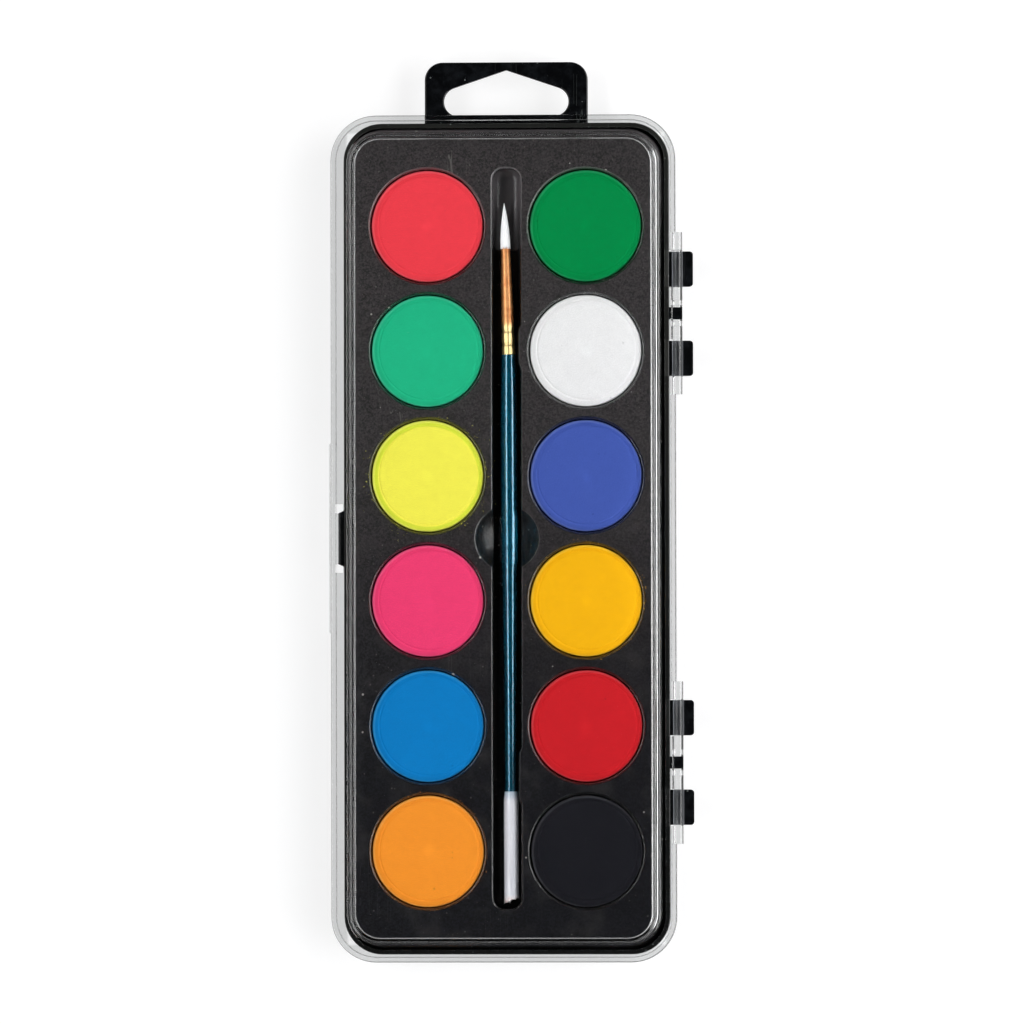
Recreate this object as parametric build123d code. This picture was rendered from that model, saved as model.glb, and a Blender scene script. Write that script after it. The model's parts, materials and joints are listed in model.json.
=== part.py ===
from build123d import *
import math
import os

# A pocket watercolour set: a black case with a hang tab, a charcoal palette insert with twelve
# pressed paint tablets and a brush in its channel, and a clear lid on two snap-in rod hinges.
# Millimetres. The origin is the centre of the case's underside, Z points up through the lid,
# Y points to the hang tab and X to the hinge side. The lid is modelled shut.

# Paint tablets and their cups
tablet_diameter = 29.5
tablet_thickness = 4.0
tablet_bevel = 0.75
tablet_foot_chamfer = 0.3
tablet_sink = 0.5          # top face below the deck
tablet_gap = 0.25          # radial, tablet to cup
cup_edge_round = 0.6
row_land = 1.7             # deck left between two cups of a column
rows = 6
glue_diameter = 12.0
glue_thickness = 0.2

left_colours = ["coral_red", "mid_green", "lemon_yellow", "pink", "blue", "orange"]
right_colours = ["dark_green", "white", "violet_blue", "golden_yellow", "crimson", "black"]

# Palette insert
sheet = 0.8
channel_width = 7.4        # between the channel walls
channel_depth = 6.0
channel_floor_round = 2.2
channel_end_round = 3.0    # plan corners at the channel's ends
channel_edge_round = 0.55
channel_web = 1.0          # deck left between the channel and a cup
scoop_radius = 8.4
scoop_depth = 5.0
deck_side = 4.9            # deck left beside the cups
deck_end = 9.95            # deck left beyond the end cups
deck_edge_round = 1.5
skirt_depth = 2.4
insert_gap = 0.2           # insert to case wall
insert_corner = 9.6

# Bumps on the channel walls: side (-1 left, 1 right), centre along Y, length at the tip
bump_reach_left = 1.3
bump_reach_right = 0.7
bump_slope = 2.6
bumps = [(1, 50.4, 8.7), (-1, 34.6, 7.0), (1, -62.4, 11.8), (-1, -62.4, 11.8)]

# Case
case_wall = 1.25
case_floor = 1.2
under_gap = 0.8            # case floor to the underside of the channel
rim_rise = 1.2             # rim above the deck
case_corner = 10.0
foot_round = 1.2
rim_round = 0.25
rib_width = 1.2
rib_reach = 1.5
side_ribs = 7
end_ribs = 3
nub_length = 4.0
nub_height = 0.6
nub_bite = 0.1             # nub over the rounded edge of the insert

# Hang tab with its delta-shaped hole
tab_width = 43.0
tab_reach = 16.3
tab_thickness = 2.0
tab_corner = 4.7
tab_gap = 0.2              # tab to the lid's lip above it
tab_edge_round = 0.4
hole_width = 32.8
hole_end_radius = 3.8
hole_apex_radius = 1.0
hole_height = 12.0
hole_land = 2.1            # case wall to the near edge of the hole

# Latch catch on the case
catch_length = 13.4
catch_slope = 1.0          # how far each end runs back to its root
catch_reach = 1.6
catch_height = 1.6
catch_drop = 0.8           # rim to the top of the catch
catch_chamfer = 0.6

# Lid
lip = 1.2
lip_drop = 2.0
lip_gap_latch = 2.25       # lip to case wall, on the latch side
lip_gap_hinge = 0.65
lip_gap_end = 0.95
lid_corner = 12.0
shelf = 1.3
pane_rise = 3.7
pane = 1.3
pane_wall = 1.0
pane_inset = 5.1
pane_corner = 7.9
pane_slope = 0.4           # how far the wall leans in over its height
pane_edge_round = 1.0
pane_foot_round = 1.4
cavity_round = 0.5
shelf_edge_round = 0.5
lip_root_round = 0.4       # under the flange, where the lip hangs from it
thumb_length = 50.0
thumb_proud = 0.4
thumb_drop = 2.6           # below the lip
thumb_round = 0.35
bead_height = 1.0
bead_under = 0.12          # play under the catch
bead_bite = 0.2            # how far the bead reaches under the catch
window_length = 18.0

# Hinges: a clear rod of the lid turns in open saddles on the case, under a finger
hinge_spacing = 118.0
rod_radius = 1.3
rod_play = 0.08
axis_out = 2.2             # rod axis from the case wall
axis_drop = 2.45           # rod axis below the rim
lug_start = 7.1            # along Y from the hinge centre
lug_end = 16.4
lug_thickness = 2.72       # outside the bore
lug_rise = 0.3             # above the rod axis
post_half = 1.6
post_top_gap = 0.15
rib_start = 2.1
rib_end = 3.4
block_end = 21.3
hinge_side_gap = 0.2       # between lid and case pieces along the axis
shelf_reach = 1.05         # shelf past the case wall, over the root of the finger
shelf_inner_round = 0.7    # its edge there
lug_sweep = 0.15           # shelf to lug when the lid is open
block_wall_gap = 0.4

# Brush, measured from its tail
sleeve_length = 29.5
handle_shown = 115.0
ferrule_length = 28.4
tuft_length = 12.2
sleeve_wall = 0.36
sleeve_radius = 1.95
sleeve_flare = 5.0
sleeve_end = 1.6
handle_tail_radius = 1.5
handle_belly_radius = 2.25
handle_neck_radius = 1.95
belly_from_neck = 22.0
tenon_length = 9.0
tenon_radius = 1.25
ferrule_neck_radius = 1.8
ferrule_tip_radius = 1.2
ferrule_wall = 0.3
crimp_depth = 0.14
crimp_width = 1.1
crimps = [2.7, 6.2]        # from the handle end of the ferrule
tuft_radius = 1.3
tuft_root = 6.0
tuft_root_radius = 0.8
brush_floor_gap = 0.3
brush_tail_gap = 1.4
brush_tip_gap = 8.4
brush_neck_x = 0.5
brush_tail_x = 0.97
ferrule_lean = 1.7         # degrees, the ferrule is slightly bent on its handle

# Derived places
cup_radius = tablet_diameter / 2 + tablet_gap
cup_mouth = 2 * (cup_radius + cup_edge_round)
row_pitch = cup_mouth + row_land
channel_mouth = channel_width + 2 * channel_edge_round
column_x = channel_mouth / 2 + channel_web + cup_mouth / 2
insert_width = 2 * (column_x + cup_mouth / 2 + deck_side)
insert_length = (rows - 1) * row_pitch + cup_mouth + 2 * deck_end
case_width = insert_width + 2 * (insert_gap + case_wall)
case_length = insert_length + 2 * (insert_gap + case_wall)
deck_z = case_floor + under_gap + sheet + channel_depth
rim_z = deck_z + rim_rise
channel_floor_z = deck_z - channel_depth
tablet_z = deck_z - tablet_sink - tablet_thickness
cup_floor_z = tablet_z - glue_thickness
skirt_z = deck_z - skirt_depth
wall_x = case_width / 2
wall_y = case_length / 2
lip_z = rim_z - lip_drop
tab_z = lip_z - tab_gap
shelf_z = rim_z + shelf
pane_z = shelf_z + pane_rise
lid_width = case_width + lip_gap_latch + lip_gap_hinge + 2 * lip
lid_length = case_length + 2 * (lip_gap_end + lip)
lid_x = (lip_gap_hinge - lip_gap_latch) / 2
lip_inner_x = -wall_x - lip_gap_latch
axis_x = wall_x + axis_out
axis_z = rim_z - axis_drop
bore_radius = rod_radius + rod_play
lug_radius = bore_radius + lug_thickness
block_x = axis_x + rod_radius
catch_top_z = rim_z - catch_drop
catch_z = catch_top_z - catch_height
brush_length = sleeve_length + handle_shown + ferrule_length + tuft_length
channel_length = brush_length + brush_tail_gap + brush_tip_gap
tail_y = brush_tail_gap - channel_length / 2
neck_y = tail_y + sleeve_length + handle_shown
brush_z = channel_floor_z + brush_floor_gap + handle_belly_radius
spill = 1.0                # how far a cutter runs past the face it opens


def block(width, length, corner, low, high, x=0.0):
    """A standing block with rounded corners, from height low to height high."""
    plan = RectangleRounded(width, length, corner)
    return Pos(x, 0, low) * extrude(plan, high - low)


def box(x0, x1, y0, y1, z0, z1):
    """A plain box between two corners."""
    size = Box(x1 - x0, y1 - y0, z1 - z0)
    return Pos((x0 + x1) / 2, (y0 + y1) / 2, (z0 + z1) / 2) * size


def rod_along_y(radius, y0, y1):
    """A cylinder on the hinge axis."""
    rod = Rot(90, 0, 0) * Cylinder(radius, y1 - y0)
    return Pos(axis_x, (y0 + y1) / 2, axis_z) * rod


def turned(points):
    """A solid of revolution about Z from (radius, height) points, closed along the axis."""
    return revolve(make_face(Polyline(points, close=True).edges()).moved(Rot(90, 0, 0)), Axis.Z)


def spread(count, length):
    """Places of count equal steps, centred on a run of this length."""
    step = length / count
    return [step * (i + 0.5) - length / 2 for i in range(count)]


def cup_places():
    """Name and centre of each cup, top row first."""
    first_y = (rows - 1) / 2 * row_pitch
    places = []
    for side, names in ((-1, left_colours), (1, right_colours)):
        for row, name in enumerate(names):
            places.append((name, side * column_x, first_y - row * row_pitch))
    return places


def make_tablet(x, y):
    radius = tablet_diameter / 2
    top = tablet_thickness
    outline = [
        (0, 0),
        (radius - tablet_foot_chamfer, 0),
        (radius, tablet_foot_chamfer),
        (radius, top - tablet_bevel),
        (radius - tablet_bevel, top),
        (0, top),
    ]
    return Pos(x, y, tablet_z) * turned(outline)


def make_glue():
    dot = Cylinder(glue_diameter / 2, glue_thickness)
    height = cup_floor_z + glue_thickness / 2
    return Compound([(Pos(x, y, height) * dot).solid() for _, x, y in cup_places()])


def trough(grow):
    """The brush channel as a solid with a rounded floor, running up past the deck, enlarged by grow."""
    floor_z = channel_floor_z - grow
    plan = RectangleRounded(channel_width + 2 * grow, channel_length + 2 * grow, channel_end_round + grow)
    body = Pos(0, 0, floor_z) * extrude(plan, deck_z - floor_z + spill)
    return fillet(body.edges().group_by(Axis.Z)[0], channel_floor_round + grow)


def scoop_ball(grow):
    """The ball whose cap is the finger scoop, enlarged by grow."""
    ball = (scoop_radius ** 2 + scoop_depth ** 2) / (2 * scoop_depth)
    return Pos(0, 0, deck_z - scoop_depth + ball) * Sphere(ball + grow)


def make_bump(side, y, tip_length):
    """A tapered bump that stands in from one channel wall over its whole depth."""
    root = channel_width / 2 + sheet / 2
    reach = bump_reach_right if side > 0 else bump_reach_left
    tip = channel_mouth / 2 - channel_edge_round - reach
    half = tip_length / 2
    plan = Polygon(
        (side * root, y - half - bump_slope),
        (side * root, y + half + bump_slope),
        (side * tip, y + half),
        (side * tip, y - half),
        align=None,
    )
    low = channel_floor_z - sheet / 2
    body = Pos(0, 0, low) * extrude(plan, deck_z - low)
    tip_edges = body.edges().filter_by(Axis.Z).sort_by(lambda e: side * e.center().X)[:2]
    return fillet(tip_edges, bump_slope / 2)


def cup_cutter():
    """The hollow of one cup with its rounded mouth, opening upwards at the deck."""
    depth = deck_z - cup_floor_z
    with BuildSketch(Plane.XZ) as outline:
        with BuildLine():
            Line((0, -depth), (cup_radius, -depth))
            Line((cup_radius, -depth), (cup_radius, -cup_edge_round))
            RadiusArc((cup_radius, -cup_edge_round), (cup_mouth / 2, 0), -cup_edge_round)
            Line((cup_mouth / 2, 0), (cup_mouth / 2, spill))
            Line((cup_mouth / 2, spill), (0, spill))
            Line((0, spill), (0, -depth))
        make_face()
    return revolve(outline.sketch, Axis.Z)


def make_palette():
    plate = block(insert_width, insert_length, insert_corner, skirt_z, deck_z)
    plate = fillet(plate.edges().group_by(Axis.Z)[-1], deck_edge_round)
    inner_corner = insert_corner - sheet
    under = block(insert_width - 2 * sheet, insert_length - 2 * sheet, inner_corner,
                  skirt_z - spill, deck_z - sheet)
    palette = plate - under
    cup_shell = Cylinder(cup_radius + sheet, deck_z - cup_floor_z + sheet - sheet / 2)
    shell_z = (deck_z - sheet / 2 + cup_floor_z - sheet) / 2
    for _, x, y in cup_places():
        palette += Pos(x, y, shell_z) * cup_shell
    below_deck = block(insert_width, insert_length, insert_corner, 0, deck_z - sheet / 2)
    palette += (trough(sheet) & below_deck) + (scoop_ball(sheet) & below_deck)
    channel = trough(0)
    for bump in bumps:
        channel -= make_bump(*bump)
    above = block(insert_width, insert_length, insert_corner, 0, deck_z + spill)
    palette -= channel + (scoop_ball(0) & above)
    mouth = [e for e in palette.edges().group_by(Axis.Z)[-1]
             if abs(e.center().X) < channel_web + channel_mouth and e.length < channel_length
             and abs(e.center().Y) < insert_length / 2 - deck_end]
    palette = fillet(mouth, channel_edge_round)
    cutter = cup_cutter()
    for _, x, y in cup_places():
        palette -= Pos(x, y, deck_z) * cutter
    return palette


def make_hang_tab():
    start_y = wall_y - case_wall / 2
    end_y = wall_y + tab_reach
    plate = box(-tab_width / 2, tab_width / 2, start_y, end_y, tab_z - tab_thickness, tab_z)
    corners = plate.edges().filter_by(Axis.Z).sort_by(Axis.Y)[-2:]
    plate = fillet(corners, tab_corner)
    near_y = wall_y + hole_land
    end_x = hole_width / 2 - hole_end_radius
    apex_y = near_y + hole_height - hole_apex_radius
    rounds = Pos(-end_x, near_y + hole_end_radius) * Circle(hole_end_radius)
    rounds += Pos(end_x, near_y + hole_end_radius) * Circle(hole_end_radius)
    rounds += Pos(0, apex_y) * Circle(hole_apex_radius)
    delta = make_hull(rounds.edges())
    plate -= Pos(0, 0, tab_z - tab_thickness - spill) * extrude(delta, tab_thickness + 2 * spill)
    edges = plate.edges().group_by(Axis.Z)
    rims = [e for e in edges[0] + edges[-1] if e.center().Y > wall_y + spill]
    return fillet(rims, tab_edge_round)


def make_catch():
    """The wedge that the lid's bead snaps under, on the wall opposite the hinges."""
    half = catch_length / 2
    root = -wall_x + case_wall / 2
    tip = -wall_x - catch_reach
    plan = Polygon(
        (root, half + catch_slope),
        (tip, half),
        (tip, -half),
        (root, -half - catch_slope),
        align=None,
    )
    body = Pos(0, 0, catch_z) * extrude(plan, catch_height)
    lead = body.edges().group_by(Axis.X)[0].sort_by(Axis.Z)[-1]
    return chamfer(lead, catch_chamfer)


def make_hinge_seat(y):
    """Two saddles that cradle the rod from below and outside, and a finger over its middle."""
    seat = None
    keep = box(wall_x - case_wall / 2, axis_x + lug_radius, -lug_end, lug_end,
               axis_z - lug_radius, axis_z + lug_rise)
    for side in (-1, 1):
        near, far = sorted((side * lug_start, side * lug_end))
        web = box(wall_x - case_wall / 2, axis_x, near, far, axis_z - lug_radius, axis_z)
        saddle = (rod_along_y(lug_radius, near, far) + web) & keep
        outer = saddle.faces().filter_by(Axis.Y).edges().filter_by(GeomType.CIRCLE)
        outer = [e for e in outer if abs(e.radius - lug_radius) < rod_play]
        saddle = fillet(outer, lug_thickness / 3)
        saddle -= rod_along_y(bore_radius, near - spill, far + spill)
        seat = saddle if seat is None else seat + saddle
    finger = box(wall_x - case_wall / 2, block_x, -post_half, post_half,
                 axis_z + bore_radius, rim_z - post_top_gap)
    return Pos(0, y, 0) * (seat + finger)


def make_case():
    shell = block(case_width, case_length, case_corner, 0, rim_z)
    shell = fillet(shell.edges().group_by(Axis.Z)[0], foot_round)
    hollow = block(case_width - 2 * case_wall, case_length - 2 * case_wall,
                   case_corner - case_wall, case_floor, rim_z + spill)
    case = shell - hollow
    case = fillet(case.edges().group_by(Axis.Z)[-1], rim_round)
    inner_x = wall_x - case_wall
    inner_y = wall_y - case_wall
    root = case_wall / 2
    half = rib_width / 2
    for y in spread(side_ribs, case_length - 2 * case_corner):
        for side in (-1, 1):
            near, far = sorted((side * (inner_x - rib_reach), side * (inner_x + root)))
            case += box(near, far, y - half, y + half, case_floor / 2, skirt_z)
    for x in spread(end_ribs, case_width - 2 * case_corner):
        for side in (-1, 1):
            near, far = sorted((side * (inner_y - rib_reach), side * (inner_y + root)))
            case += box(x - half, x + half, near, far, case_floor / 2, skirt_z)
    nub_top = deck_z - rim_round
    bite = insert_gap + nub_bite
    for y in spread(3, case_length - 2 * case_corner):
        for side in (-1, 1):
            near, far = sorted((side * (inner_x - bite), side * (inner_x + root)))
            case += box(near, far, y - nub_length / 2, y + nub_length / 2,
                        nub_top - nub_height, nub_top)
    case += make_hang_tab()
    case += make_catch()
    for y in (-hinge_spacing / 2, hinge_spacing / 2):
        case += make_hinge_seat(y)
    return case


def lean(length, width, corner, low, height):
    """A block whose walls lean in by the pane's slope, moved to the lid's centre."""
    taper = math.degrees(math.atan(pane_slope / pane_rise))
    body = extrude(RectangleRounded(width, length, corner), height, taper=taper)
    return Pos(lid_x, 0, low) * body


def lid_shell():
    """Flange and raised pane with the hollow under it, before the lip and the hinges."""
    plate = block(lid_width, lid_length, lid_corner, rim_z, shelf_z, lid_x)
    plate = fillet(plate.edges().group_by(Axis.Z)[-1], shelf_edge_round)
    foot_width = lid_width - 2 * pane_inset
    foot_length = lid_length - 2 * pane_inset
    raised = lean(foot_length, foot_width, pane_corner, shelf_z, pane_rise)
    raised = fillet(raised.edges().group_by(Axis.Z)[-1], pane_edge_round)
    outer = plate + raised
    foot = [e for e in outer.edges() if abs(e.center().Z - shelf_z) < shelf / 9
            and abs(e.bounding_box().size.Z) < shelf / 9
            and abs(e.center().X - lid_x) < foot_width / 2 + shelf_edge_round
            and abs(e.center().Y) < foot_length / 2 + shelf_edge_round]
    outer = fillet(foot, pane_foot_round)
    widen = shelf * pane_slope / pane_rise - pane_wall
    hollow = lean(foot_length + 2 * widen, foot_width + 2 * widen, pane_corner + widen,
                  rim_z, pane_z - pane - rim_z)
    hollow = fillet(hollow.edges().group_by(Axis.Z)[-1], cavity_round)
    return outer - hollow


def make_lip():
    """The wall that hangs from the flange round the case, with the thumb tab on the latch side."""
    ring = block(lid_width, lid_length, lid_corner, lip_z, rim_z + shelf / 2, lid_x)
    thumb_x = lip_inner_x - lip - thumb_proud
    thumb = box(thumb_x, lip_inner_x + lip, -thumb_length / 2, thumb_length / 2,
                lip_z - thumb_drop, shelf_z - shelf_edge_round)
    thumb_edges = thumb.edges().group_by(Axis.X)[0]
    ring += fillet(thumb_edges, thumb_round)
    inside = block(lid_width - 2 * lip, lid_length - 2 * lip, lid_corner - lip,
                   lip_z - thumb_drop - spill, rim_z, lid_x)
    ring -= fillet(inside.edges().group_by(Axis.Z)[-1], lip_root_round)
    return ring - block(lid_width - 2 * pane_inset, lid_length - 2 * pane_inset, pane_corner,
                        rim_z - spill, shelf_z, lid_x)


def make_bead():
    """The ridge inside the thumb tab that snaps under the catch."""
    top = catch_z - bead_under
    reach = -wall_x - catch_reach + bead_bite
    half = catch_length / 2
    bead = box(lip_inner_x - lip / 2, reach, -half, half, top - bead_height, top)
    nose = bead.edges().group_by(Axis.X)[-1].sort_by(Axis.Z)[0]
    return chamfer(nose, bead_height / 2)


def hinge_arm(near, far):
    """A clear block from the flange down to the rod, between two places along Y."""
    left = wall_x + block_wall_gap
    arm = box(left, block_x, near, far, axis_z, shelf_z)
    top = arm.edges().group_by(Axis.X)[-1].sort_by(Axis.Z)[-1]
    arm = fillet(top, rod_radius)
    bridge = box(wall_x - case_wall, left + rod_radius / 2, near, far, rim_z,
                 shelf_z - shelf_edge_round / 2)
    return arm + rod_along_y(rod_radius, near, far) + bridge


def hinge_cuts():
    """What the flange and lip lose at one hinge: room for the finger, the rod and the lugs."""
    past = lid_width / 2 + lid_x + spill
    open_end = lug_end + hinge_side_gap
    low = lip_z - spill
    cuts = box(wall_x + shelf_reach, past, -open_end, open_end, low, shelf_z + spill)
    cuts += box(wall_x + block_wall_gap, past, -block_end, block_end, low, rim_z)
    reach = math.sqrt((lug_radius + lug_sweep) ** 2 - axis_drop ** 2)
    for side in (-1, 1):
        near, far = sorted((side * (lug_start - hinge_side_gap), side * open_end))
        cuts += box(axis_x - reach, past, near, far, low, shelf_z + spill)
    return cuts


def make_lid():
    lid = lid_shell() + make_lip() + make_bead()
    lid -= box(lip_inner_x, -wall_x - insert_gap, -window_length / 2, window_length / 2,
               rim_z - spill, shelf_z + spill)
    cuts = hinge_cuts()
    for y in (-hinge_spacing / 2, hinge_spacing / 2):
        lid -= Pos(0, y, 0) * cuts
        strip = [e for e in lid.edges() if abs(e.center().X - wall_x - shelf_reach) < hinge_side_gap
                 and abs(e.center().Z - shelf_z) < hinge_side_gap
                 and abs(e.center().Y - y) < lug_start and e.length > lug_start]
        lid = fillet(strip, shelf_inner_round)
        arms = rod_along_y(rod_radius, -block_end, block_end)
        for side in (-1, 1):
            for start, end in ((rib_start, rib_end), (lug_end + hinge_side_gap, block_end)):
                arms += hinge_arm(*sorted((side * start, side * end)))
        lid += Pos(0, y, 0) * arms
    return lid


def along_handle(solid):
    """Lays a turned piece, built upwards from the tail, along the handle's axis."""
    run = neck_y - tail_y
    swing = math.degrees(math.atan((brush_tail_x - brush_neck_x) / run))
    return Pos(brush_tail_x, tail_y, brush_z) * Rot(0, 0, swing) * Rot(-90, 0, 0) * solid


def along_ferrule(solid):
    """Lays a turned piece, built upwards from the neck, along the slightly bent ferrule."""
    return Pos(brush_neck_x, neck_y, brush_z) * Rot(0, 0, ferrule_lean) * Rot(-90, 0, 0) * solid


def make_handle():
    """Turned wood: tail peg inside the sleeve, long taper, belly and a neck at the ferrule."""
    start = sleeve_end
    shown = sleeve_length
    neck = sleeve_length + handle_shown
    belly = neck - belly_from_neck
    middle = (shown + belly) / 2
    mid_radius = (handle_tail_radius + handle_belly_radius) / 2
    with BuildSketch(Plane.XZ) as outline:
        with BuildLine():
            Line((0, start), (handle_tail_radius, start))
            Line((handle_tail_radius, start), (handle_tail_radius, shown))
            Spline(
                (handle_tail_radius, shown),
                (mid_radius, middle),
                (handle_belly_radius, belly),
                (handle_neck_radius, neck),
            )
            Line((handle_neck_radius, neck), (0, neck))
            Line((0, neck), (0, start))
        make_face()
    return along_handle(revolve(outline.sketch, Axis.Z))


def make_tenon():
    """The reduced end of the handle inside the ferrule, on the ferrule's axis."""
    overlap = crimp_width / 2
    body = Pos(0, 0, (tenon_length - overlap) / 2) * Cylinder(tenon_radius, tenon_length + overlap)
    return along_ferrule(body)


def make_sleeve():
    bore = handle_tail_radius
    mouth = bore + sleeve_wall / 3
    outline = [
        (0, 0),
        (sleeve_radius - sleeve_wall, 0),
        (sleeve_radius, sleeve_wall),
        (sleeve_radius, sleeve_length - sleeve_flare),
        (mouth, sleeve_length),
        (bore, sleeve_length),
        (bore, sleeve_end),
        (0, sleeve_end),
    ]
    return along_handle(turned(outline))


def ferrule_radius(height):
    share = height / ferrule_length
    return ferrule_neck_radius + (ferrule_tip_radius - ferrule_neck_radius) * share


def make_ferrule():
    """A tapered metal tube with two rolled grooves near the handle."""
    outline = [(ferrule_radius(0), 0)]
    for place in crimps:
        low = place - crimp_width / 2
        high = place + crimp_width / 2
        outline.append((ferrule_radius(low), low))
        outline.append((ferrule_radius(place) - crimp_depth, place))
        outline.append((ferrule_radius(high), high))
    outline.append((ferrule_tip_radius, ferrule_length))
    outline.append((ferrule_tip_radius - ferrule_wall, ferrule_length))
    outline.append((tenon_radius, tenon_length))
    outline.append((tenon_radius, 0))
    return along_ferrule(turned(outline))


def make_tuft():
    """Bristles: a root inside the ferrule, a full belly and a fine point."""
    start = ferrule_length
    tip = ferrule_length + tuft_length
    bore = ferrule_tip_radius - ferrule_wall
    with BuildSketch(Plane.XZ) as outline:
        with BuildLine():
            Line((0, start - tuft_root), (tuft_root_radius, start - tuft_root))
            Line((tuft_root_radius, start - tuft_root), (bore, start))
            Line((bore, start), (ferrule_tip_radius, start))
            Spline(
                (ferrule_tip_radius, start),
                (tuft_radius, start + tuft_length * 0.2),
                (tuft_radius * 0.85, start + tuft_length * 0.55),
                (tuft_radius * 0.12, tip),
            )
            Line((tuft_radius * 0.12, tip), (0, tip))
            Line((0, tip), (0, start - tuft_root))
        make_face()
    return along_ferrule(revolve(outline.sketch, Axis.Z))


def save(shape, name):
    solids = shape.solids()
    whole = solids[0] if len(solids) == 1 else Compound(solids)
    whole.label = name
    export_step(whole, "parts/" + name + ".step")


def main():
    os.makedirs("parts", exist_ok=True)
    save(make_case(), "case")
    save(make_palette(), "palette_insert")
    save(make_lid(), "lid")
    for name, x, y in cup_places():
        save(make_tablet(x, y), "paint_" + name)
    save(make_glue(), "tablet_glue")
    ferrule = make_ferrule()
    save(make_handle() - ferrule + make_tenon(), "brush_handle")
    save(ferrule, "brush_ferrule")
    save(make_tuft(), "brush_bristles")
    save(make_sleeve(), "brush_end_sleeve")


main()
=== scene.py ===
import json
import math

import bpy
import numpy as np
from mathutils import Matrix, Vector


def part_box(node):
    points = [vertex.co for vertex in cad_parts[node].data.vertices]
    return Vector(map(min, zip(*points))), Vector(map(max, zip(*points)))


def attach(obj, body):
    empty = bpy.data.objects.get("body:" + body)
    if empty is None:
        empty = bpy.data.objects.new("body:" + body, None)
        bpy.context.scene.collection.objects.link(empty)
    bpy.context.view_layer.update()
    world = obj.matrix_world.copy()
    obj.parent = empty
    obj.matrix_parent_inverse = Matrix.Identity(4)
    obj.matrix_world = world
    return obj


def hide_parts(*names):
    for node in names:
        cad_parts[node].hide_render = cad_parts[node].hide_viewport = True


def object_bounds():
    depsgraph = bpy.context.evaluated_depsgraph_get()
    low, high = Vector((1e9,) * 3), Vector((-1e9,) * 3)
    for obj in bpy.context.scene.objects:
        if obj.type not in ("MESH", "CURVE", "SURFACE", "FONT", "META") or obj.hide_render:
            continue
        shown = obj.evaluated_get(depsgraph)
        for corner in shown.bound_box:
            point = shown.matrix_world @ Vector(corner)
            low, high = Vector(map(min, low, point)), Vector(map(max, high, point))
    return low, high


# A pocket watercolour set seen from above: black case, charcoal palette insert with twelve
# pressed tablets, a brush in its channel, and a clear lid. Metres, in the frame of the CAD.

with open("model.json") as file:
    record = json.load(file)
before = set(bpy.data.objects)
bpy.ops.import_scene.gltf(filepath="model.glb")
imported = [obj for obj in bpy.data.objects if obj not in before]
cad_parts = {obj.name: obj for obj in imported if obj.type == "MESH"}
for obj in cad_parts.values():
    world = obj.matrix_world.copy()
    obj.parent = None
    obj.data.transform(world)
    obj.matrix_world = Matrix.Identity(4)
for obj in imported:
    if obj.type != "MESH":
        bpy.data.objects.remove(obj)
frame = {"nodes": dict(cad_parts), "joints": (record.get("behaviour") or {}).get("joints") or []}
cad_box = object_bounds()
nodes = frame["nodes"]

MM = 0.001

# The photograph's view: a long lens almost straight above the set
AIM = Vector((1.37 * MM, 6.91 * MM, 8.8 * MM))   # the point at the picture's centre
CAMERA_DISTANCE = 2.0
FIELD_WIDTH = 269.3 * MM                         # what the picture spans at the aim point
LEAN_NEAR = math.radians(1.6)                    # camera towards the near end of the case
LEAN_HINGE = math.radians(2.3)                   # and towards the hinge side
ROLL = math.radians(0.11)

# Paint colours, as on screen from 0 to 255
PAINTS = {
    "coral_red": (243, 64, 76),
    "mid_green": (34, 184, 134),
    "lemon_yellow": (250, 241, 84),
    "pink": (243, 64, 116),
    "blue": (12, 124, 196),
    "orange": (252, 150, 46),
    "dark_green": (0, 138, 70),
    "white": (241, 239, 240),
    "violet_blue": (68, 90, 174),
    "golden_yellow": (254, 184, 18),
    "crimson": (204, 32, 40),
    "black": (27, 27, 32),
}

# Share of a tablet's red, green and blue that its margin keeps, where that isn't even
MARGIN_TONES = {"lemon_yellow": (0.84, 0.93, 0.7)}

# Loose pigment round a tablet: its strength, and how far it reaches from the tablet's centre
SPILLS = {
    "lemon_yellow": (0.9, 22.5 * MM),
    "golden_yellow": (0.7, 19.0 * MM),
    "orange": (0.6, 18.5 * MM),
    "white": (0.7, 18.5 * MM),
    "mid_green": (0.5, 18.0 * MM),
    "coral_red": (0.4, 17.5 * MM),
}

# Hair scratches on the deck: turn, width and strength of each set
SCRATCHES = ((0.5, 0.0012, 0.18), (-0.9, 0.001, 0.16))

# Places that the looks follow
CASE_SIDE = 42.8 * MM                            # outer face of the case wall on the hinge side
RIM_ROUND = 0.3 * MM                             # depth of the painted sheen on the rim's rounded edge
RIM_SHEEN_FROM, RIM_SHEEN_TO = -80 * MM, 40 * MM           # along the case: the rim's painted sheen grows
ROD_REACH = 1.45 * MM                            # a lid rod's radius with its clearance
DECK_EDGE = 0.06 * MM                            # depth where the insert's rounded edges start
HOLLOW_EDGE, HOLLOW_WALL = 0.5 * MM, 0.9 * MM    # depths where its edges turn into hollows
DECK_SHEEN_FROM, DECK_SHEEN_TO = -66 * MM, 46 * MM           # along the case: the deck's painted sheen grows
CHANNEL_GLINT_FROM, CHANNEL_GLINT_TO = 72 * MM, 96 * MM      # along the case: painted highlight in the channel's end
GAP_SHADE_FROM, GAP_SHADE_TO = 0.35 * MM, 0.75 * MM      # outside a tablet: the painted shade in its gap fades
MARGIN_FROM, MARGIN_TO = 1.75 * MM, 1.3 * MM     # inside a tablet's edge: its margin darkens
BEVEL_LIGHT_FROM, BEVEL_LIGHT_TO = 0.75 * MM, 0.35 * MM        # inside a tablet's edge: its bevel turns pale, a painted highlight
MARGIN_SHIFT = (0.2 * MM, -0.15 * MM)            # from a tablet's middle to its margin's
BRIGHT_TO, PLAIN_FROM = 7.0 * MM, 8.8 * MM       # along the ferrule: burnished and painted paler as a highlight, then plain
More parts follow.
